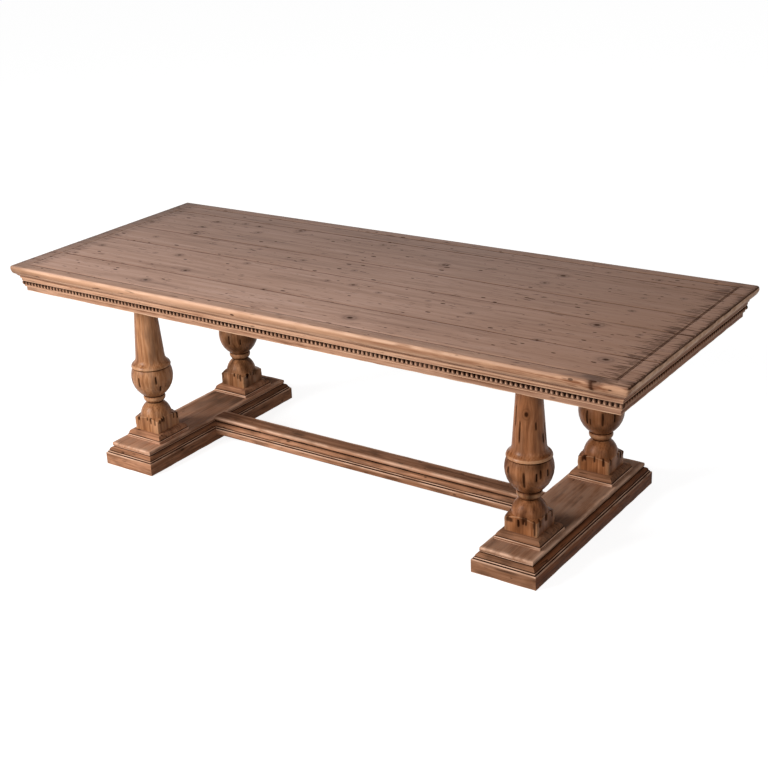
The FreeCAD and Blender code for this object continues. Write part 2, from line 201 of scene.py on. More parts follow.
# %% Waxed pine
def waxed_pine(
    name, palette, worn_and_lit, grime_and_shade, gloss, ring, spread, grime, pitted, ends=None, edge=None, turn=None
):
    """Old pine, stained and waxed, from a light, a mid and a dark colour; gloss is its roughness and its
    reflection; ring is the spacing of the growth lines in mm; a wide spread makes the tone even; grime and
    pitted are how dark its stains and pits are; ends is its gain in red, green and blue at the table's left
    and right; edge is the palette of a top's edge; turn sets the grain of a node with no attributes."""
    material = bpy.data.materials.new(name)
    add = emptied(material)
    place = add("TexCoord", out="Object")
    spot = add("SeparateXYZ", [place]).node.outputs
    if turn is None:
        grain = add("Attribute", out="Vector", attribute_name="grain")
    else:
        grain = add("Mapping", {"Vector": place, "Rotation": turn})
    field = {}
    for title, (along, across, detail) in VARIES.items():
        stretch = [1 / (size * MM) for size in (along, across, across)]
        scaled = add("VectorMath MULTIPLY", [grain, stretch])
        field[title] = add("TexNoise", {"Vector": scaled, "Scale": 1.0, "Detail": detail})

    # Growth lines, then one tone from coarse to fine
    across = add("SeparateXYZ", [grain], out="Y")
    bent = add("Math MULTIPLY_ADD", [field["drift"], LINE_DRIFT, across])
    phase = add("Math MULTIPLY", [bent, 2 * math.pi / (ring * MM)])
    lines = add("Math SINE", [phase])
    tone = add("Math MULTIPLY", [lines, LINE_SHARE])
    for part, share in TONE_SHARES.items():
        tone = add("Math MULTIPLY_ADD", [field[part], share, tone])
    pale = add("MapRange", [tone, 0.5, 0.5 + spread])
    deep = add("MapRange", [tone, 0.5, 0.5 - spread])
    woods = []
    for light, mid, dark in (palette, edge) if edge else (palette,):
        wood = linear(mid)
        for amount, colour in ((pale, light), (deep, dark)):
            wood = add("Mix", {0: amount, 6: wood, 7: linear(colour)}, 2, data_type="RGBA")
        woods.append(wood)
    wood = woods[0]
    layers = []
    if ends:
        gain = add("MapRange", [spot["X"], 0.2, 0.8])
        gain = add("Mix", {0: gain, 4: ends[0], 5: ends[1]}, 1, data_type="VECTOR")
        wood = add("VectorMath MULTIPLY", [wood, gain])
    if edge:
        gain, fringe, layers = top_age(add, spot, field, woods[1], grime_and_shade)
        # The gain of a top is partly painted light, brighter towards the front
        wood = add("VectorMath SCALE", {0: wood, "Scale": gain})

    # Pits, dashes and knots
    stretch = [1 / (size * MM) for size in PIT_CELL]
    scaled = add("VectorMath MULTIPLY", [grain, stretch])
    cells = add("TexVoronoi", {"Vector": scaled, "Scale": 1.0}).node.outputs
    size = add("SeparateColor", [cells["Color"]])
    size = add("MapRange", [size, 0.2, 1.0, 0.0, 0.2])
    pits = add("Math SUBTRACT", [size, cells["Distance"]])
    pits = add("MapRange", [pits, 0.0, 0.04])
    dashes = add("MapRange", [field["dashes"], 0.7, 0.76])
    marks = add("Math MAXIMUM", [pits, dashes])
    marks = add("Math MULTIPLY", [marks, pitted])
    if turn is None:
        away = add("Attribute", out="Fac", attribute_name="knot")
        away = add("Math MULTIPLY_ADD", [field["streaks"], KNOT_RAGGED, away])
        halo = add("MapRange", [away, 3.0, 1.2, 0.0, 0.6])
        layers.append((halo, linear(palette[2])))
        core = add("MapRange", [away, 1.2, 0.8, 0.0, 0.9])
        rim = add("Math SUBTRACT", [away, KNOT_RING])
        rim = add("Math ABSOLUTE", [rim])
        rim = add("MapRange", [rim, 0.3, 0.08, 0.0, 0.18])
        for mark in (core, rim):
            marks = add("Math MAXIMUM", [marks, mark])
    layers.append((marks, linear(grime_and_shade)))

    # Stains, rubbed arrises with some painted highlights, dirt with painted shade, then all layers over the
    # wood
    if grime:
        stains = add("Math ADD", [field["patches"], field["streaks"]])
        stains = add("MapRange", [stains, 1.02, 1.3, 0.0, grime])
        layers.append((stains, linear(grime_and_shade)))
    for title, colour, least in (("wear", worn_and_lit, 0.25), ("hollow", grime_and_shade, 0.8)):
        amount = add("Attribute", out="Fac", attribute_name=title)
        share = add("MapRange", [field["patches"], 0.35, 0.6, least])
        soot_and_shade = add("Math MULTIPLY", [amount, share])
        layers.append((soot_and_shade, linear(colour)))
    for amount, colour in layers:
        wood = add("Mix", {0: amount, 6: wood, 7: colour}, 2, data_type="RGBA")

    # Relief and sheen; dirt and painted shade are rough and have no sheen
    height = add("Math MULTIPLY", [field["fibres"], FIBRE_HEIGHT])
    height = add("Math MULTIPLY_ADD", [marks, MARK_HEIGHT, height])
    bump = add("Bump", {"Height": height, "Strength": 0.5, "Distance": RELIEF})
    roughness, reflection = gloss
    rough = add("Math MULTIPLY_ADD", [field["clouds"], 0.2, roughness - 0.1])
    rough = add("Math MULTIPLY_ADD", [soot_and_shade, 0.35, rough])
    dull = add("Math MAXIMUM", [marks, soot_and_shade])
    if edge:
        dull = add("Math MAXIMUM", [dull, fringe])
    sheen = add("Math MULTIPLY_ADD", [dull, -reflection, reflection])
    look = {"Base Color": wood, "Roughness": rough, "Normal": bump, "IOR": 1.5, "Specular IOR Level": sheen}
    add("OutputMaterial", [add("BsdfPrincipled", look)])
    return material


# %% [markdown]
# The same timber takes a few finishes: a top bleached to a greyish brown with a warm orange edge, a darker
# apron, mid brown legs, the darkest base, and bare joinery under the top. The boards at the right end and the
# right side of the right foot face away from the key lamp, and each takes a darker, redder copy of its finish
# as painted shade. One material could mix them all by place, but one for each part keeps its colours
# together, where they are easy to match.

# %% Finishes
# Light, mid and dark colour of each part
EDGE = ("#C89B7E", "#B38769", "#865A40")
TOP = ("#A98A7C", "#997867", "#7A5B4B")
APRON = ("#C0967B", "#AA7F65", "#805841")
LEG = ("#B37D56", "#99643E", "#6E4123")
BASE = ("#BA886A", "#9A6C50", "#67442F")
INNER = ("#A98262", "#92694A", "#6E4B33")
# Waxed top: pale greyish brown with dark pits; the wax gives it a soft sheen at a low angle
top_pine = waxed_pine("waxed_pine_top", TOP, "#D8AE90", "#2E150B", (0.5, 0.1), 9, 0.17, 0.0, 0.85, edge=EDGE)
# Apron, cornice and beads: warm orange brown, brightest on the arrises that hands rub
boards = (APRON, "#D2A888", "#26120A", (0.48, 0.04), 7, 0.11, 0.35, 0.5)
apron_pine = waxed_pine("rubbed_pine_apron", *boards, ends=((0.97, 0.97, 0.97), (0.86, 0.87, 0.9)))
# Right end of the same boards, facing away from the key lamp: a deeper brown that paints its shade
shaded_end_pine = waxed_pine("shaded_pine_end", *boards, ends=((0.97, 0.97, 0.97), (0.68, 0.55, 0.48)))
# Turned legs: mid brown under wax, with a tighter highlight than the boards
turnings = (LEG, "#C0906A", "#240E05", (0.34, 0.14), 9, 0.12, 0.45, 0.3)
leg_pine = waxed_pine("waxed_pine_leg", *turnings, ends=((1.14, 1.24, 1.38), (0.88, 0.82, 0.8)))
# Base mouldings: a darker red brown, paler where shoes rub the arrises
mouldings = (BASE, "#D8AE93", "#1C0B05", (0.42, 0.02), 8, 0.12, 0.6, 0.6)
base_pine = waxed_pine("waxed_pine_base", *mouldings, ends=((1.05, 1.05, 1.05), (0.65, 0.63, 0.6)))
# Right side of the right foot, facing away from the key lamp: the deepest red brown of all, as painted shade
shaded_side_pine = waxed_pine("stained_pine_foot", *mouldings, ends=((1.05, 1.05, 1.05), (0.62, 0.46, 0.34)))
# Joinery under the top: sawn pine without stain, so it is dull and shows its growth lines
sawn = (INNER, INNER[0], "#33221A", (0.7, 0.1), 8, 0.1, 0.0, 0.5)
inner_pine = waxed_pine("sawn_pine_inner", *sawn, turn=(0, 0, -math.pi / 2))
print("finishes:", [m.name for m in bpy.data.materials if "pine" in m.name])

# %% [markdown]
# ## Worn sections
# Every moulding on the table is one section run along a straight line. A planed section has sharp corners,
# but here arrises are rubbed round and hollows hold dirt. A Bevel modifier could round them, but the finish
# has to know which is which. So `section` takes a short outline in millimetres, with a third number where
# an edge is bowed, rounds each arris, and marks each row as arris or hollow. A support row beside an arris
# lets the flat next to it shade flat.

# %% Worn sections
ARC_STEP, LEAST_TURN = math.radians(13), math.radians(25)
QUARTER = 0.2071  # bow of a quarter circle: its height over its chord
SUPPORT, ROOM = 2.5, 2.2  # mm from an arris to its support row, and how often that must fit an edge
ROUNDED_SHARE, CAKED_SHARE = 0.4, 0.35  # most of an edge that is rounded off, or caked with dirt


def section(outline, softness, closed=False, caked=0.0):
    """Rows of (inset, level, wear, hollow) in mm from an outline walked with the wood on its
    right; grime is caked that far out of each concave corner."""
    points = []
    for index, (inset, level, *bow) in enumerate(outline):
        if bow:
            from_inset, from_level = outline[index - 1][:2]
            half = 2 * math.atan(2 * bow[0])
            steps = max(4, math.ceil(abs(2 * half) / ARC_STEP))
            run, rise = inset - from_inset, level - from_level
            for step in range(1, steps):
                angle = half * (2 * step / steps - 1)
                along = (math.sin(angle) / math.sin(half) + 1) / 2
                out = (math.cos(angle) - math.cos(half)) / (2 * math.sin(half))
                points.append((from_inset + run * along - rise * out, from_level + rise * along + run * out))
        points.append((inset, level))
    rows = []
    for index, (inset, level) in enumerate(points):
        here = Vector((inset, level))
        before = here - Vector(points[index - 1])
        after = Vector(points[(index + 1) % len(points)]) - here
        turn = before.angle_signed(after, 0)
        at_end = not closed and index in (0, len(points) - 1)
        if at_end or abs(turn) < LEAST_TURN:
            rows.append((inset, level, 0, 0))
            continue
        reach = softness * math.tan(abs(turn) / 2)
        reach = min(reach, ROUNDED_SHARE * before.length, ROUNDED_SHARE * after.length)
        support = reach + SUPPORT
        coming, going = before.normalized(), after.normalized()
        start, end = here - coming * reach, here + going * reach
        if before.length > ROOM * support:
            rows.append((*(here - coming * support), 0, 0))
        if turn > 0:
            crown = (start + 2 * here + end) / 4
            rows += [(*start, 1, 0), (*crown, 1, 0), (*end, 1, 0)]
        else:
            for side, way in ((-1, before), (0, before), (1, after)):
                if caked or side == 0:
                    out = side * way.normalized() * min(caked, CAKED_SHARE * way.length)
                    rows.append((*(here + out), 0, 1))
        if after.length > ROOM * support:
            rows.append((*(here + going * support), 0, 0))
    return rows


def ragged(place, size, seed):
    """Smooth noise from 0 to 1 with bumps of about this size in mm."""
    return 0.5 + 0.5 * noise.noise(Vector(place) / (size * MM) + Vector((seed * 7.31, seed * 3.17, seed)))


# %% [markdown]
# A `Board` collects points with their marks and skins them. `dress` turns its mesh into a piece of the table:
# it writes the grain, bends it round the knots, and puts the piece in place of its CAD nodes.


# %% Boards
class Board:
    """A mesh under construction, with the marks of its points: rubbed arrises and painted highlights, dirty
    hollows and painted shade.
    """

    def __init__(self, bm=None):
        self.bm = bmesh.new() if bm is None else bm
        layers = self.bm.verts.layers.float
        # The pale mark is real rubbing, and in some places a painted highlight; the dark mark is dirt, and in
        # some places painted shade
        self.wear, self.hollow = (layers.get(mark) or layers.new(mark) for mark in ("wear", "hollow"))

    def point(self, place, wear=0.0, hollow=0.0):
        vert = self.bm.verts.new(place)
        vert[self.wear] = wear
        vert[self.hollow] = hollow
        return vert

    def skin(self, loops, closed_loops=True, caps=(0, -1)):
        """Quads between neighbouring loops of points, and caps on some of the loops."""
        for first, second in zip(loops, loops[1:]):
            pairs = list(zip(first, second))
            for (a, b), (c, d) in zip(pairs, pairs[1:] + pairs[:1] if closed_loops else pairs[1:]):
                self.bm.faces.new((a, c, d, b))
        for index in caps:
            self.bm.faces.new(loops[index])

    def sheet(self, xs, ys, level):
        """A flat grid of points."""
        self.skin([[self.point((x, y, level)) for x in xs] for y in ys], closed_loops=False, caps=())

    def close(self):
        """Merges points that meet and turns every face outwards."""
        bmesh.ops.remove_doubles(self.bm, verts=self.bm.verts, dist=1e-6)
        bmesh.ops.recalc_face_normals(self.bm, faces=self.bm.faces)

    def mesh(self, name):
        """Closes the work and hands it over as a mesh."""
        self.close()
        mesh = bpy.data.meshes.new(name)
        self.bm.to_mesh(mesh)
        self.bm.free()
        return mesh

    def finish(self, name, *look, **more):
        """Closes the work into a piece that stands for its CAD nodes."""
        return dress(name, self.mesh(name), *look, **more)


ORDERS = {"x": (0, 1, 2), "y": (1, 0, 2), "z": (2, 0, 1)}
GRAIN_SHIFT = np.array((1.7, 0.43, 0.19))
NO_KNOT, KNOT_LENGTH, KNOT_BEND, KNOT_REACH = 9.0, 1.3, 0.8, 2.5


def dress(name, mesh, material, slot, nodes, grain, seed, sharp=40, knots=()):
    """Gives a mesh its grain, shading and finish; knots are (x, y, z, radius) in mm on its surface."""
    places = np.empty(len(mesh.vertices) * 3, np.float32)
    mesh.vertices.foreach_get("co", places)
    order = ORDERS[grain]
    lines = places.reshape(-1, 3)[:, order].astype(np.float64)
    away = np.full(len(lines), NO_KNOT)
    bends = np.zeros(len(lines))
    for *spot, radius in knots:
        apart = lines - np.array(spot)[list(order)] * MM
        gap = np.linalg.norm(apart / (KNOT_LENGTH, 1, 1), axis=1) / (radius * MM)
        away = np.minimum(away, gap)
        bends -= KNOT_BEND * apart[:, 1] * np.exp(-((gap / KNOT_REACH) ** 2))
    lines[:, 1] += bends
    lines += seed * GRAIN_SHIFT
    written = (("grain", "FLOAT_VECTOR", "vector", lines), ("knot", "FLOAT", "value", away))
    for title, kind, key, values in written:
        attribute = mesh.attributes.new(title, kind, "POINT")
        attribute.data.foreach_set(key, values.astype(np.float32).ravel())
    mesh.shade_smooth()
    mesh.set_sharp_from_angle(angle=math.radians(sharp))
    mesh.materials.clear()
    mesh.materials.append(material)
    piece = placed(name, mesh)
    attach(piece, "root")
    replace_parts(piece, *nodes)
    return piece


# %% [markdown]
# ## Runs and slabs
# Two makers cover most of the table. `strip` runs a closed section along one side of a rectangle, with mitred
# ends: cornices, aprons and skirts. `slab` walks a section round a rectangle: plates, plinths and the top.
# Sweeping a curve would do too, but plain loops keep the points where wear and dirt are marked.

# %% Runs and slabs
SIDES = ("back", "left", "front", "right")
CORNER_WEAR, WORN_DOWN = 0.8, 0.8


def sides(half_x, half_y):
    """Each side of a rectangle: its name, quarter turns, half run, half depth and grain."""
    for turns, side in enumerate(SIDES):
        yield side, turns, *((half_x, half_y, "x") if turns % 2 == 0 else (half_y, half_x, "y"))


def loss(place, seed, least, most=1.6, size=45):
    """Uneven share of an arris that is rubbed off at a place (m)."""
    return least + most * ragged(place, size, seed) ** 2


def strip(rows, half_run, half_depth, turns, rub, seed, centre=(0, 0), spacing=30):
    """Board with closed rows (mm) run along one side of a rectangle of those half sizes (m)."""
    board = Board()
    count = max(8, round(2 * half_run / (spacing * MM)))
    core = Vector((sum(r[0] for r in rows), sum(r[1] for r in rows))) / len(rows)
    turned = Matrix.Rotation(math.pi / 2 * turns, 4, "Z")
    loops = []
    for station in range(count + 1):
        loop = []
        for inset, level, wear, hollow in rows:
            along = (2 * station / count - 1) * (half_run - inset * MM)
            if wear:
                inward = (core - Vector((inset, level))).normalized()
                amount = rub * loss((along, level * MM, inset * MM), seed, 0.25)
                inset, level = Vector((inset, level)) + inward * amount
            place = turned @ Vector((along, half_depth - inset * MM, level * MM))
            loop.append(board.point(place + Vector((*centre, 0)), wear, hollow))
        loops.append(loop)
    board.skin(loops)
    return board


def spaced(reach, step):
    """Evenly spaced stations between two ends, without the ends themselves."""
    count = max(4, round(2 * reach / step))
    return [reach * (2 * k / count - 1) for k in range(1, count)]


def rounded_loop(half_x, half_y, corner, xs, ys, arc=4):
    """Points round a rectangle with rounded corners, and a mark on those of the corners."""
    points = []
    for quarter in range(4):
        long, wide = (half_x, half_y) if quarter % 2 == 0 else (half_y, half_x)
        stations = sorted((xs, ys)[quarter % 2], reverse=True)
        if quarter > 1:
            stations = [-s for s in reversed(stations)]
        turned = Matrix.Rotation(math.pi / 2 * quarter, 2)
        run = long - corner
        points += [(turned @ Vector((s, wide)), False) for s in (run, *stations)]
        for step in range(arc):
            angle = math.pi / 2 * step / arc
            spot = Vector((-run - corner * math.sin(angle), wide - corner * (1 - math.cos(angle))))
            points.append((turned @ spot, corner > 0.5 * MM))
    return points


def slab(rows, half_x, half_y, centre, corner, xs, ys, rub, seed, caps=(0, -1)):
    """Board with open rows (mm) walked round a rectangle of those half sizes (m), through stations."""
    board = Board()
    loops = []
    for inset, level, wear, hollow in rows:
        inset_x, inset_y = inset if isinstance(inset, tuple) else (inset, inset)
        radius = max(corner - max(inset_x, inset_y), 0) * MM
        loop = []
        for place, at_corner in rounded_loop(half_x - inset_x * MM, half_y - inset_y * MM, radius, xs, ys):
            worn_and_lit = max(wear, CORNER_WEAR if at_corner and not hollow else 0)
            spot = Vector((*place, level * MM))
            if wear:
                amount = rub * MM * loss(spot, seed, 0.2)
                spot -= Vector((*place.normalized(), WORN_DOWN)) * amount
            loop.append(board.point(spot + Vector((*centre, 0)), worn_and_lit, hollow))
        loops.append(loop)
    board.skin(loops, caps=caps)
    return board


# %% [markdown]
# ## Top
# The top is five planks with a scored border and one nosing round all of them. Making each plank alone would
# leave the nosing to be matched four times, so the whole top is walked as one slab, filled with a grid and
# sawn along the seams. The grid gives the planks their slight hollows and places for knots.

# %% Whole top
top_low, top_high = Vector(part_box("plank_1")[0]), Vector(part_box("plank_5")[1])
half_length, half_width = top_high.x, top_high.y
top_level = top_high.z / MM
top_underside = top_low.z / MM
BORDER_X, BORDER_Y = 70, 60
GRID, SEAM_CLEAR = 6 * MM, 7 * MM
BESIDE_SEAM = (-5, -1.6, 0, 1.6, 5)
NOSING_WEAR = 0.7
nosing_outline = [
    (BORDER_X, top_underside), (8.4, top_underside), (0, top_level - 12, 0.06), (0, top_level - 7),
    (7, top_level, QUARTER), (14, top_level),
]
nosing = section(nosing_outline, 2.0)
# Hands rub the upper part of the nosing
nosing = [(i, z, NOSING_WEAR if abs(z - top_level + 4) < 8 and i < 5 else w, h) for i, z, w, h in nosing]
# Scored line, from the ends and from the sides (mm), with its depth, wear and dirt
groove = [
    ((46, 40), 0, 0, 0), ((50, 43), 0, 0.2, 0), ((52, 44.6), 0.3, 0.1, 0.25), ((53.4, 45.8), 1.4, 0, 1),
    ((56.5, 47.5), 0.9, 0, 0.1), ((59.6, 49.2), 1.4, 0, 0.9), ((61, 50.4), 0.3, 0.1, 0.2),
    ((63, 52), 0, 0.2, 0), ((BORDER_X, BORDER_Y), 0, 0, 0),
]
field_x, field_y = half_length - BORDER_X * MM, half_width - BORDER_Y * MM
seams = [float(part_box(f"plank_{number}")[0].y) for number in range(2, 6)]
xs = spaced(field_x, GRID)
ys = [y for y in spaced(field_y, GRID) if min(abs(y - seam) for seam in seams) > SEAM_CLEAR]
ys = sorted(ys + [seam + beside * MM for seam in seams for beside in BESIDE_SEAM])
rows = nosing + [(inset, top_level - drop, wear, grime_and_shade) for inset, drop, wear, grime_and_shade in groove]
whole = slab(rows, half_length, half_width, (0, 0), 9, xs, ys, 1.3, 2.0, caps=(0,))
whole.sheet((-field_x, *xs, field_x), (-field_y, *ys, field_y), top_high.z)
whole.close()
print("seams at y (mm):", [round(y / MM) for y in seams], "points:", len(whole.bm.verts))

# %% [markdown]
# What use has done to the top comes next: seams that have sunk, a dark joint along the right end and one
# crack through the front edge. Where each lies was judged from the photograph. They could be sculpted
# by hand, but a rule for each gives the same top on every run.

# %% Seams, joints and a crack
CRACK, CRACK_WIDTH = 1.1355, 7 * MM
SURFACE, IN_SEAM, RIM = 3 * MM, 0.5 * MM, 6 * MM
JOINT, END_BAND, FRONT_BAND, CRACK_DEPTH = 4 * MM, 12 * MM, 16 * MM, 12 * MM
# Along the front edge: x in m, and how much of its wear is left there
FRONT_WEAR = ((-1.24, -1.05, 0.6, 1.1), (0.2, 1, 1, 0.15))
for vert in whole.bm.verts:
    x, y, z = vert.co
    grime_and_shade = vert[whole.hollow]
    on_rim = z > top_high.z - RIM
    if z > top_high.z - SURFACE:
        vert.co.z -= 0.5 * MM * ragged((x, y, 0), 150, 5)
        gap = min(abs(y - seam) for seam in seams)
        if gap < SURFACE:
            deep, soiled_and_shaded = (1, 1) if gap < IN_SEAM else (0.25, 0.5)
            vert.co.z -= deep * MM * (1 + 1.6 * ragged((x, y, 0), 70, 4) ** 2)
            grime_and_shade = max(grime_and_shade, soiled_and_shaded * (0.6 + 0.6 * ragged((x, y, 0), 120, 6)))
        if x < -half_length + BORDER_X * MM:
            grime_and_shade *= 0.1
    if on_rim and (y > half_width - RIM or x < -half_length + RIM):
        vert[whole.wear] *= 0.1
        grime_and_shade = max(grime_and_shade, 0.45)
    if on_rim and x > half_length - JOINT:
        grime_and_shade = max(grime_and_shade, 0.9)
    # The right end face of the nosing takes the full rubbed colour: partly wear, partly painted light on that
    # shaded end
    elif x > half_length - END_BAND:
        vert[whole.wear] = 1.0 if z < top_high.z - 5 * MM else 0.0
    if y < -half_width + FRONT_BAND:
        vert[whole.wear] *= float(np.interp(x, *FRONT_WEAR))
    if y < -half_width + CRACK_DEPTH:
        grime_and_shade = max(grime_and_shade, math.exp(-(((x - CRACK) / CRACK_WIDTH) ** 2)))
    vert[whole.hollow] = min(1, grime_and_shade)
print("dirty points:", sum(vert[whole.hollow] > 0.5 for vert in whole.bm.verts))

# %% [markdown]
# The knots of the top are listed by place and radius, because an eye goes to them first. A wide radius reads
# as a soft cloud with a ring, a small one as a dark dot. Small pits are left to the finish.

# %% Planks
KNOT_GROWTH = 1.35
KNOTS = [
    (-530, 355, 9), (-795, 340, 6), (-720, 335, 6), (-920, 315, 7), (-670, 265, 7), (-930, 230, 7),
    (-890, 145, 9), (-130, 340, 6), (-285, 50, 5), (205, 230, 8), (530, 345, 5), (635, 305, 8),
    (615, 210, 7), (950, -80, 9), (1100, -330, 10), (230, -380, 9), (-655, -390, 8), (-600, -240, 7),
    (-750, -105, 7), (-1120, -140, 6), (-1145, -260, 5), (45, -100, 6), (170, -130, 5), (-65, -100, 4),
    (-45, 35, 5), (-1005, 40, 5), (-855, -125, 4), (550, -165, 5), (-450, -70, 6), (850, -280, 6),
    (-205, -280, 4), (1085, 265, 5), (970, 215, 4), (990, 85, 5), (830, 90, 4), (365, -125, 4),
    (800, -155, 4), (1100, -100, 4), (-520, 90, 4), (-85, 430, 4), (940, 405, 5), (755, 405, 4),
    (-870, -465, 4), (5, -465, 4), (1145, -495, 7),
]


def saw(bm, y, normal):
    """Cuts a mesh along a seam, clears what lies beyond and closes the cut."""
    geometry = bm.verts[:] + bm.edges[:] + bm.faces[:]
    plane = {"plane_co": (0, y, 0), "plane_no": (0, normal, 0), "dist": 1e-6, "clear_outer": True}
    cut = bmesh.ops.bisect_plane(bm, geom=geometry, **plane)["geom_cut"]
    bmesh.ops.edgeloop_fill(bm, edges=[e for e in cut if isinstance(e, bmesh.types.BMEdge)])


knots = [(x, y, top_level, KNOT_GROWTH * radius) for x, y, radius in KNOTS]
for number, (y0, y1) in enumerate(zip([None, *seams], [*seams, None]), 1):
    plank = Board(whole.bm.copy())
    for y, normal in ((y0, -1), (y1, 1)):
        if y is not None:
            saw(plank.bm, y, normal)
    name, node = f"top_plank_{number}", f"plank_{number}"
    piece = plank.finish(name, top_pine, "pine_top", [node], "x", number * 1.37, knots=knots)
    print(piece.name, len(piece.data.polygons), "faces")
whole.bm.free()

# %% [markdown]
# ## Cornice and apron
# Under the top runs a small cornice, and behind it the apron board. A curve with a bevel could carry either
# section round all four sides, but the real ones are four boards whose grain ends at a mitre. So each side
# is a strip of its own.

# %% Cornice and apron
cornice_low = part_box("cornice_front")[0].z / MM
apron_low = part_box("apron_front")[0].z / MM
APRON_FACE, APRON_BACK = 39, 63
cornice_outline = [
    (APRON_FACE, cornice_low), (25, cornice_low), (25, cornice_low + 7.5),
    (24.4, cornice_low + 7.5), (14.8, top_underside - 3, 0.08), (14.8, top_underside),
    (APRON_FACE, top_underside),
]
cornice_rows = section(cornice_outline, 0.8, closed=True)
apron_outline = [
    (APRON_BACK, apron_low), (APRON_FACE, apron_low), (APRON_FACE, top_underside),
    (APRON_BACK, top_underside),
]
apron_rows = section(apron_outline, 2.5, closed=True)
# The right end takes the darker copy, which paints its shade
edge_finish = {side: shaded_end_pine if side == "right" else apron_pine for side in SIDES}
for side, turns, run, depth, grain in sides(half_length, half_width):
    for kind, kind_rows, rub in (("cornice", cornice_rows, 0.5), ("apron", apron_rows, 1.4)):
        board = strip(kind_rows, run, depth, turns, rub, turns + 3.0, spacing=15)
        name, node, seed = f"{kind}_board_{side}", f"{kind}_{side}", turns * 2.3 + len(kind)
        board.finish(name, edge_finish[side], "pine_edge", [node], grain, seed)
print("cornice rows:", len(cornice_rows), "apron rows:", len(apron_rows))

# %% [markdown]
# ## Carved beads
# Under the cornice a row of beads is carved from a strip, about sixty to the metre. An Array modifier could
# repeat one bead, but a bead has to fall on each corner whatever the length. A Geometry Nodes tree does
# that: it takes the two ends of the row and the number of beads, puts an oval bead on each point of the
# line, paints shade over its top and on one side, marks its crown on the lit side pale, partly as a painted
# highlight, and joins the beads to their strip.

# %% Tree of the carved beads
BEAD_INPUTS = {
    "Backing": "Geometry", "First": "Vector", "Last": "Vector", "Beads": "Int", "Size": "Vector",
    "Turn": "Float", "Finish": "Material",
}
# The lit crown of a bead lies a little aside, and painted shade gathers beside it and above it
LIT_CROWN_ASIDE, SHADE_BESIDE, SHADE_ABOVE = 0.25, 1.4, 0.9
# Painted shade rises away from the crown, and the crown is pale, partly as a painted highlight
BEAD_MARKS = {"hollow": (0.75, 1.6), "wear": (0.7, 0.2)}


def bead_row_tree():
    """Geometry Nodes tree that sets a row of beads on a backing strip."""
    tree = bpy.data.node_groups.new("carved_bead_row", "GeometryNodeTree")
    add = partial(put, tree)
    for title, kind in BEAD_INPUTS.items():
        tree.interface.new_socket(title, in_out="INPUT", socket_type=f"NodeSocket{kind}")
    tree.interface.new_socket("Strip", in_out="OUTPUT", socket_type="NodeSocketGeometry")
    given = add("NodeGroupInput").node.outputs
    line = add("GeometryNodeCurvePrimitiveLine", {"Start": given["First"], "End": given["Last"]})
    row = add("GeometryNodeResampleCurve", {"Curve": line, "Count": given["Beads"]})
    ball = add("GeometryNodeMeshUVSphere", {"Segments": 10, "Rings": 7, "Radius": 1.0})
    spot = add("SeparateXYZ", [add("GeometryNodeInputPosition")]).node.outputs
    flat = add("CombineXYZ", {"X": spot["X"], "Z": spot["Z"]})
    # How far a point of a bead lies from its lit crown, which sets its painted shade
    away_from_light = add("VectorMath LENGTH", [flat], "Value")
    aside = add("Math SUBTRACT", [spot["X"], LIT_CROWN_ASIDE])
    aside = add("Math ABSOLUTE", [aside])
    for value, share in ((aside, SHADE_BESIDE), (spot["Z"], SHADE_ABOVE)):
        away_from_light = add("Math MULTIPLY_ADD", [value, share, away_from_light])
    for title, limits in BEAD_MARKS.items():
        amount = add("MapRange", [away_from_light, *limits])
        ball = add("GeometryNodeStoreNamedAttribute", {"Geometry": ball, "Name": title, "Value": amount})
    turn = add("FunctionNodeEulerToRotation", [add("CombineXYZ", {"Z": given["Turn"]})])
    beads = {"Points": row, "Instance": ball, "Rotation": turn, "Scale": given["Size"]}
    solid = add("GeometryNodeRealizeInstances", [add("GeometryNodeInstanceOnPoints", beads)])
    joined = add("GeometryNodeJoinGeometry", [solid])
    tree.links.new(given["Backing"], joined.node.inputs[0])
    finish = add("GeometryNodeSetMaterial", {"Geometry": joined, "Material": given["Finish"]})
    add("NodeGroupOutput", [finish])
    return tree


bead_tree = bead_row_tree()
print("bead tree inputs:", [i.name for i in bead_tree.interface.items_tree if i.in_out == "INPUT"])

# %% [markdown]
# The corner beads belong to the long rows, so the short rows leave out their first and last. What the tree
# makes is kept as a plain mesh, because an export doesn't carry the tree along.

# %% Carved bead strips
BEAD_PITCH, BEAD_FACE, BEAD_DROP, STRIP_HEIGHT = 16.6, 34.0, 19.0, 34.0
BEAD_OUT, BEAD_UP, BEAD_SHARE, BAND_FACE = 6.8, 8.4, 0.5, 28.5
strip_low = cornice_low - STRIP_HEIGHT
bead_level = cornice_low - BEAD_DROP
band_low = bead_level + BEAD_UP
backing_outline = [
    (APRON_FACE, strip_low), (BEAD_FACE, strip_low), (BEAD_FACE, bead_level - 6),
    (BEAD_FACE, bead_level), (BEAD_FACE, bead_level + 3), (BEAD_FACE, band_low),
    (BAND_FACE, band_low), (BAND_FACE, cornice_low), (APRON_FACE, cornice_low),
]
backing_rows = section(backing_outline, 0.8, closed=True)
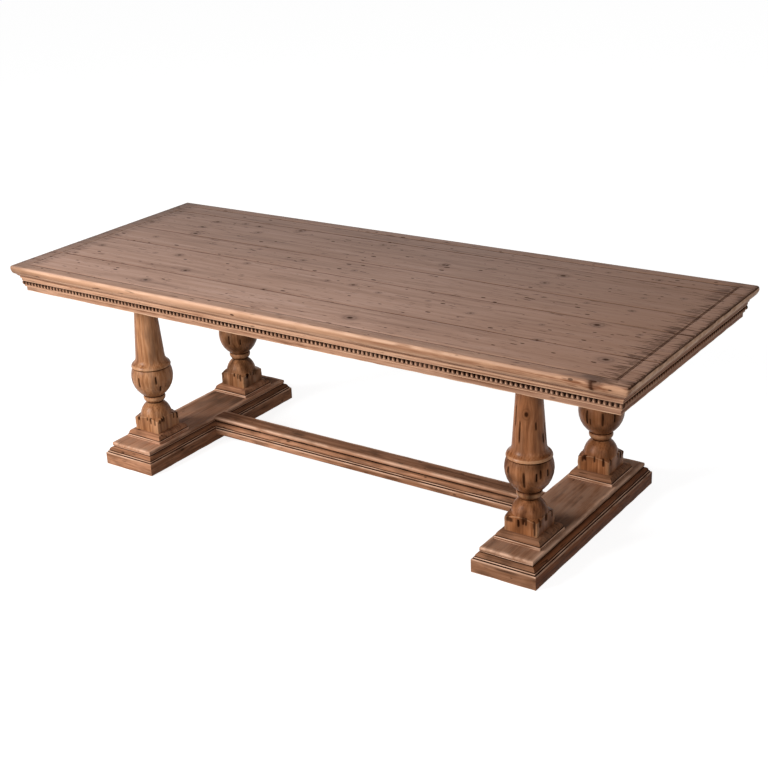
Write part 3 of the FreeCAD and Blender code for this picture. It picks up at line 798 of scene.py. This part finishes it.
# Between the beads the backing is painted darker upwards, as the shade under the cornice
soiled_and_shaded = (bead_level - 8, bead_level - 2), (0, 1)
for index, (inset, level, wear, hollow) in enumerate(backing_rows):
    if inset == BEAD_FACE:
        backing_rows[index] = (inset, level, wear, float(np.interp(level, *soiled_and_shaded)))
for side, turns, run, depth, grain in sides(half_length, half_width):
    backing = strip(backing_rows, run, depth, turns, 0.4, turns + 11.0)
    carrier = placed("backing", backing.mesh("backing"))
    half_row = run - BEAD_FACE * MM
    count = round(2 * half_row / (BEAD_PITCH * MM)) + 1
    pitch = 2 * half_row / (count - 1)
    if turns % 2:
        half_row, count = half_row - pitch, count - 2
    turned = Matrix.Rotation(math.pi / 2 * turns, 4, "Z")
    face, level = depth - BEAD_FACE * MM, bead_level * MM
    first, last = (turned @ Vector((x, face, level)) for x in (-half_row, half_row))
    values = {"First": first, "Last": last, "Beads": count, "Turn": math.pi / 2 * turns}
    values["Size"] = [BEAD_SHARE * pitch, BEAD_OUT * MM, BEAD_UP * MM]
    values["Finish"] = edge_finish[side]
    carving = carrier.modifiers.new("carving", "NODES")
    carving.node_group = bead_tree
    for item in bead_tree.interface.items_tree:
        if item.in_out == "INPUT" and item.name in values:
            carving[item.identifier] = values[item.name]
    bpy.context.view_layer.update()
    shown = carrier.evaluated_get(bpy.context.evaluated_depsgraph_get())
    carved = bpy.data.meshes.new_from_object(shown)
    carved.name = f"bead_row_{side}"
    bpy.data.objects.remove(carrier)
    node = f"bead_strip_{side}"
    piece = dress(carved.name, carved, edge_finish[side], "pine_edge", [node], grain, turns + 21.0)
    print(piece.name, count, "beads,", len(carved.polygons), "faces")

# %% [markdown]
# ## Turned legs
# Each leg is one turning on a square block: shoulder, dome, neck ring, bulb, collar, cove and a tapered
# column. A Screw modifier would spin the outline, but the block isn't round and the wood has gouges and
# checks. So the points are laid ring by ring at the radius of the turning, cut to the square of the block
# and pressed in at each mark, which darkens the finish too.

# %% Outline of a leg
# Radius and level in mm, and the bow of the edge that comes from the point before
TURNING = [
    (84.85, 117), (84.85, 162.5), (59.5, 173), (26, 224.5, 0.12), (38.7, 251.8, 0.3),
    (79.5, 328, 0.119), (71.9, 365.5, 0.0504), (67.5, 368.2), (67.5, 371), (75, 371),
    (70.2, 382, 0.078), (55.5, 407, -0.12), (35.5, 680),
]
REACH = 100.0  # an inset of a leg is measured from here
BLOCK = 60.0
ROW_STEP = 2.6
# Levels in mm of the creases painted dark as shade, and where hands rub
SHADED_CREASES = ((221, 228.5), (249.5, 254), (366, 371.05))
RUBBED = ((235, 246), (371.3, 380))
HAND_WEAR = 0.7


def refined(rows, step):
    """Rows no further apart than a step in mm."""
    fine = [rows[0]]
    for first, second in zip(rows, rows[1:]):
        count = max(1, math.ceil(math.dist(first[:2], second[:2]) / step))
        way = np.array(second) - np.array(first)
        fine += [tuple(np.array(first) + way * k / count) for k in range(1, count + 1)]
    return fine


leg_rows = []
for inset, level, *_ in refined(section([(REACH - r, z, *bow) for r, z, *bow in TURNING], 1.5), ROW_STEP):
    rubbed, dirty_and_shaded = (any(low <= level <= high for low, high in levels) for levels in (RUBBED, SHADED_CREASES))
    leg_rows.append((inset, level, HAND_WEAR * rubbed, 1.0 * dirty_and_shaded))
print("rows of a leg:", len(leg_rows))

# %% [markdown]
# The gouges that show are listed leg by leg, and the far side of each bulb is left to chance with a fixed
# seed. Checks in the column and nicks along the top of the block are left to chance too.

# %% Marks of a leg
# Angle round the leg, middle level, half length, half width and depth, in degrees and mm
GOUGES = {
    "leg_front_left": [
        (-86, 324, 18, 2.6, 2.0), (-36, 332, 14, 2.4, 1.8), (-24, 294, 12, 2.4, 1.6),
        (-120, 318, 14, 2.2, 1.4),
    ],
    "leg_front_right": [
        (-74, 315, 27, 3.2, 2.6), (-45, 325, 14, 2.4, 1.8), (-35, 334, 15, 2.6, 2.0),
        (-15, 333, 11, 2.4, 1.6), (-119, 336, 12, 3.0, 1.6), (-97, 466, 33, 1.8, 1.0),
        (-37, 487, 12, 1.6, 0.8), (-49.5, 140, 20, 1.6, 2.0), (-121, 157, 7, 4.5, 2.5),
        (-97, 152, 13, 3.5, 2.2),
    ],
    "leg_back_left": [(-79, 324, 18, 2.8, 2.0), (-45, 318, 12, 2.2, 1.4)],
    "leg_back_right": [
        (-103, 326, 24, 3.2, 2.4), (-61, 323, 23, 2.6, 2.0), (-30, 327, 16, 2.4, 1.8),
        (-93, 311, 12, 2.0, 1.2),
    ],
}
# Marks left to chance: how many, then limits of half length, half width, depth, angle and level
CHANCE = (
    (6, (10, 24), (2.2, 3.2), (1.2, 2.4), (25, 215), (290, 335)),
    (4, (12, 35), (1.4, 2.0), (0.5, 1.0), (0, 360), (430, 640)),
)
NICKS, NICK_SPREAD, NICK_DROP = 5, 54, 0.7
NICK_SIZES = ((6, 13), (2.0, 3.2), (1.6, 3.0))


def leg_marks(node, draw):
    """Gouges of one leg: those listed, some on its far side, and nicks along the top of its block."""
    marks = list(GOUGES[node])
    for count, *limits in CHANCE:
        for _ in range(count):
            *size, angle, level = (draw.uniform(*pair) for pair in limits)
            marks.append((angle, level, *size))
    (corner, block_top), (shoulder, shoulder_level) = TURNING[1:3]
    slope = (shoulder_level - block_top) / (corner - shoulder)
    for face in range(4):
        for _ in range(NICKS):
            across = draw.uniform(-NICK_SPREAD, NICK_SPREAD)
            edge = block_top + slope * (corner - math.hypot(BLOCK, across))
            size = [draw.uniform(*pair) for pair in NICK_SIZES]
            angle = face * 90 + math.degrees(math.atan2(across, BLOCK))
            marks.append((angle, edge - NICK_DROP * size[0], *size))
    return marks


# %% Turned legs
# Soil on the lower part of each leg; on the back left leg it is raised to paint the shadow that falls on it
SOILED_AND_SHADOWED = {"leg_front_right": 0.72, "leg_back_right": 0.5, "leg_back_left": 0.8, "leg_front_left": 0.15}
LEG_KNOTS = {"leg_front_right": [(824, -301, 527, 10)]}
SPOKES, SKIN = 168, 0.08
BULB_TOP, BLOCK_ABOVE = 366, 173.5
SQUARENESS, EDGE_BAND, EDGE_WEAR = 44, 2.5, 0.75
CORNER_FROM, CORNER_RUN, CORNER_LOSS, BLOCK_WEAR = 74, 10, 3.5, 0.9
GOUGE_WIDER, GOUGE_LONGER, GOUGE_DIRT = 1.3, 1.2, 1.8
for number, node in enumerate(GOUGES):
    low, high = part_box(node)
    centre = (low + high) / 2
    marks = leg_marks(node, random.Random(40 + number))
    board = Board()
    loops = []
    for inset, level, wear, hollow in leg_rows:
        loop = []
        for spoke in range(SPOKES):
            angle = 360 * (spoke + 0.5) / SPOKES
            c, s = math.cos(math.radians(angle)), math.sin(math.radians(angle))
            radius, worn_and_lit, dirty_and_shaded = REACH - inset, wear, hollow
            if level < BULB_TOP:
                # Blotchy soil below the bulb, which on the back left leg also paints shadow
                soil_and_shadow = 1.8 * ragged((c * SKIN, s * SKIN, level * MM), 38, number + 7) - 0.4
                dirty_and_shaded = max(hollow, SOILED_AND_SHADOWED[node] * soil_and_shadow)
            if level < BLOCK_ABOVE:
                side = BLOCK / (abs(c) ** SQUARENESS + abs(s) ** SQUARENESS) ** (1 / SQUARENESS)
                corner = max(0, (side - CORNER_FROM) / CORNER_RUN)
                chipped = ragged((c * SKIN, s * SKIN, level * MM + number), 16, number) ** 2
                side -= corner * CORNER_LOSS * chipped
                worn_and_lit = BLOCK_WEAR * corner if radius > side else 0
                if abs(radius - side) < EDGE_BAND:
                    worn_and_lit = max(worn_and_lit, EDGE_WEAR)
                radius = min(radius, side)
            for at, middle, half, width, depth in marks:
                away = math.radians(abs((angle - at + 180) % 360 - 180)) * radius / (GOUGE_WIDER * width)
                along = (level - middle) / (half * GOUGE_LONGER)
                if away < 2 and abs(along) < 1:
                    press = math.exp(-away * away) * (1 - along**4)
                    radius -= depth * press
                    dirty_and_shaded = max(dirty_and_shaded, min(1, press * GOUGE_DIRT))
            place = (centre.x + radius * c * MM, centre.y + radius * s * MM, level * MM)
            loop.append(board.point(place, worn_and_lit, dirty_and_shaded))
        loops.append(loop)
    board.skin(loops)
    knots, seed = LEG_KNOTS.get(node, ()), 31.0 + number * 1.9
    piece = board.finish(f"turned_{node}", leg_pine, "pine_legs", [node], "z", seed, 50, knots)
    print(piece.name, len(piece.data.polygons), "faces,", len(marks), "marks")

# %% [markdown]
# ## Plinths, plates and feet
# Below each leg sits a small moulded plinth, then a nosed plate, then the foot: four skirts mitred round a
# core. A foot could be one moulded block, but its grain would run past the corners. So skirts are strips, and
# plinths and plates are slabs. Shoes rub the moulding of the feet. The top of a plate is paler, partly worn
# and partly as a painted sheen, and is painted darker beside some plinths where the legs cast their shadows,
# so a plate's top is a grid.

# %% Plinths
CAKED = 2.0
plate_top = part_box("foot_plate_left")[1].z / MM
plinth_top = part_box("leg_plinth_front_left")[1].z / MM
plinth_outline = [
    (30, plate_top), (0, plate_top), (0, plate_top + 10), (4.5, plate_top + 10),
    (4.5, plate_top + 12.5), (22.5, plinth_top, QUARTER), (30, plinth_top),
]
plinth_rows = section(plinth_outline, 1.2, caked=CAKED)
for node in [n for n in frame["nodes"] if n.startswith("leg_plinth")]:
    low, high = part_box(node)
    middle = (low + high) / 2
    half = (high.x - low.x) / 2
    seed = middle.x * 3 + middle.y * 5 + 8
    stations = spaced(half - 31 * MM, 10 * MM)
    board = slab(plinth_rows, half, half, middle.xy, 3.0, stations, stations, 0.9, seed)
    board.finish(f"moulded_{node}", base_pine, "pine_base", [node], "x", seed)
print("plinth rows:", len(plinth_rows))

# %% Plates and feet
# The flat of a plate is paler, partly worn and partly a painted sheen
PLATE_THICK, SHOE_WEAR, PLATE_WEAR_AND_SHEEN, FLAT_FROM = 13.0, 0.9, 0.3, 30
plate_low = plate_top - PLATE_THICK
plate_outline = [
    (21, plate_low), (19.5, plate_low + 1.5, QUARTER), (19.5, plate_top - 4),
    (23.5, plate_top, QUARTER),
]


def base_outline(low):
    """Side of the moulding that the feet and the stretcher share, in mm."""
    return [
        (0, low), (0, 43), (0, 47), (2, 49, QUARTER), (5.5, 49), (5.5, 55.5), (9.5, 55.5),
        (21.5, 69, QUARTER), (22.5, 69), (22.5, plate_low),
    ]


def trodden(rows):
    """Rows of that moulding, rubbed by shoes on the nosing and on the bead."""
    worn_and_lit = []
    for inset, level, wear, hollow in rows:
        nosing_or_bead = (level > plate_top - 5 and inset < 24) or (46 < level < 49.5 and inset < 3)
        worn_and_lit.append((inset, level, SHOE_WEAR if nosing_or_bead else wear, hollow))
    return worn_and_lit


plate_rows = trodden(section([(40, plate_low), *plate_outline, (34, plate_top)], 0.8))
plate_rows = [(i, z, PLATE_WEAR_AND_SHEEN if i > FLAT_FROM else w, h) for i, z, w, h in plate_rows]
plate_rows.append((38, plate_top, 0, 0))
skirt_outline = [*base_outline(0), (30, plate_low), (30, 0)]
skirt_rows = trodden(section(skirt_outline, 1.4, closed=True, caked=CAKED))
# From one y to another (m), how dark each plate is painted: the shadows of the legs fall beside a plinth
PLATE_SHADOW = {"left": ((-0.12, 0.16), (0.0, 0.8)), "right": ((-0.3, -0.17, -0.03), (0.0, 0.6, 0.0))}
for name in ("left", "right"):
    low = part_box(f"foot_skirt_left_{name}")[0]
    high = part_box(f"foot_skirt_right_{name}")[1]
    middle = (low + high) / 2
    foot_x, foot_y = (high.x - low.x) / 2, (high.y - low.y) / 2
    seed = 50 + middle.x
    stations = [spaced(half - 41 * MM, 15 * MM) for half in (foot_x, foot_y)]
    board = slab(plate_rows, foot_x, foot_y, middle.xy, 22.0, *stations, 1.0, seed, caps=(0,))
    rims = [half - plate_rows[-1][0] * MM for half in (foot_x, foot_y)]
    lines = [(-rim, *inner, rim) for rim, inner in zip(rims, stations)]
    board.sheet(*([at + k for k in line] for at, line in zip(middle.xy, lines)), plate_top * MM)
    for vert in board.bm.verts:
        if vert.co.z > (plate_top - 0.01) * MM:
            # The top of a plate is paler, partly worn and partly a painted sheen, and painted darker where
            # the legs' shadows fall
            vert[board.wear] = PLATE_WEAR_AND_SHEEN
            grime_and_shade = float(np.interp(vert.co.y, *PLATE_SHADOW[name]))
            vert[board.hollow] = grime_and_shade * (0.5 + 0.7 * ragged(vert.co, 70, seed))
    board.finish(f"nosed_plate_{name}", base_pine, "pine_base", [f"foot_plate_{name}"], "y", seed)
    for side, turns, run, depth, grain in sides(foot_x, foot_y):
        board = strip(skirt_rows, run, depth, turns, 1.3, seed + turns, middle.xy, 10)
        title, node = f"moulded_skirt_{side}_{name}", f"foot_skirt_{side}_{name}"
        # The right side of the right foot takes the darker copy, which paints its shade
        finish = shaded_side_pine if side == name == "right" else base_pine
        board.finish(title, finish, "pine_base", [node], grain, seed + turns)
print("plate rows:", len(plate_rows), "skirt rows:", len(skirt_rows))

# %% [markdown]
# ## Stretcher
# The stretcher carries the same moulding as the feet, on both its sides, and its ends are scribed to fit
# theirs. A Boolean modifier could cut them, but it leaves ragged faces. So the beam is laid loop by loop, and
# each of its lines stops where it meets the foot's own moulding at that height.

# %% Stretcher
STATIONS, BEAM_DIRT, SLANT = 140, 0.25, 0.7
stretcher_low, stretcher_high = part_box("stretcher")
half_beam = stretcher_high.y / MM
foot_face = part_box("foot_skirt_left_right")[0].x / MM
beam_outline = base_outline(stretcher_low.z / MM) + plate_outline + [(34, plate_top)]
beam_side = trodden(section(beam_outline, 1.2, caked=CAKED))
beam_rows = [(half_beam - i, z, w, BEAM_DIRT if i > FLAT_FROM else h) for i, z, w, h in beam_side]
beam_rows += [(-y, z, w, h) for y, z, w, h in beam_rows[::-1]]
foot_side = section(base_outline(0) + plate_outline, 0.8)
levels, insets = zip(*sorted((z, i) for i, z, w, h in foot_side))
board = Board()
loops = []
for station in range(STATIONS + 1):
    loop = []
    for y, z, wear, hollow in beam_rows:
        reach = foot_face + float(np.interp(z, levels, insets))
        x = (2 * station / STATIONS - 1) * reach
        drop = wear * loss((x * MM, y * MM, z * MM), 61, 0.2, 1.5, 50) * SLANT
        place = Vector((x, y - math.copysign(drop, y), z - drop)) * MM
        loop.append(board.point(place, wear, hollow))
    loops.append(loop)
board.skin(loops)
piece = board.finish("moulded_stretcher", base_pine, "pine_base", ["stretcher"], "x", 63.0)
print(piece.name, len(piece.data.polygons), "faces")

# %% [markdown]
# ## Joinery under the top
# Bearers, battens, blocks, buttons, wedges, cores and pegs are hardly seen. Finer meshes could be made for
# them too, but would be wasted, so they keep their CAD meshes and take a finish of sawn pine on Object
# coordinates, turned so that the grain runs across the table.

# %% Joinery under the top
covered = {n for p in bpy.context.scene.objects for n in p.get("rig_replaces", [])}
joinery = [o for n, o in frame["nodes"].items() if n not in covered]
for node in joinery:
    node.data.materials.clear()
    node.data.materials.append(inner_pine)
print(len(joinery), "nodes keep their CAD mesh:", sorted(o.name for o in joinery))

# %% [markdown]
# ## Floor and light
# The table stands on white. Strong lamps could light a floor to white, but it would throw light up under the
# table. So this pale floor has a glow that the camera sees and that lights nothing. One soft lamp stands at
# the left front, a weak one at the right front, and a dim sky fills the rest, so the sides that face right
# fall dark.

# %% Floor and light
FLOOR, WHITE = 60.0, (1, 1, 1, 1)
floor_mesh = bpy.data.meshes.new("floor")
corners = [(x * FLOOR, y * FLOOR, 0) for x, y in ((-1, -1), (1, -1), (1, 1), (-1, 1))]
floor_mesh.from_pydata(corners, [], [(0, 1, 2, 3)])
floor = placed("floor", floor_mesh)
# Paper floor: matt and pale, with a glow that only the camera and mirrored rays see
paper = bpy.data.materials.new("pale_paper_floor")
world = bpy.data.worlds.new("studio")
bpy.context.scene.world = world
for holder, least, most in ((paper, 0.0, 0.86), (world, 0.28, 1.0)):
    add = emptied(holder)
    path = add("LightPath").node.outputs
    seen = path["Is Camera Ray"]
    for other in ("Is Glossy Ray", "Is Transmission Ray"):
        seen = add("Math MAXIMUM", [seen, path[other]])
    glow = add("MapRange", [seen, 0.0, 1.0, least, most])
    if holder == world:
        add("OutputWorld", [add("Background", {"Color": WHITE, "Strength": glow})])
    else:
        matt = add("BsdfDiffuse", {"Color": linear("#B0B0B0")})
        glow = add("Emission", {"Color": WHITE, "Strength": glow})
        add("OutputMaterial", [add("AddShader", [matt, glow])])
floor_mesh.materials.append(paper)

LAMP_SIZE, AIM = 2.4, Vector((0, 0, 0.5))
for name, place, power in (("key_lamp", (-3.1, -5.2, 2.9), 450), ("fill_lamp", (3.4, -4.6, 2.2), 60)):
    light = bpy.data.lights.new(name, "AREA")
    light.shape = "DISK"
    light.size = LAMP_SIZE
    light.energy = power
    lamp = placed(name, light)
    lamp.location = place
    lamp.rotation_euler = (AIM - lamp.location).to_track_quat("-Z", "Y").to_euler()
    print(name, power, "W,", LAMP_SIZE, "m wide")

# %% [markdown]
# ## Finish
# The picture uses Blender's Standard view, so a colour is shown as it was written. The box of the dressed
# table is kept beside the CAD box, which it must not leave.

# %% Finish
bpy.context.scene.view_settings.view_transform = "Standard"
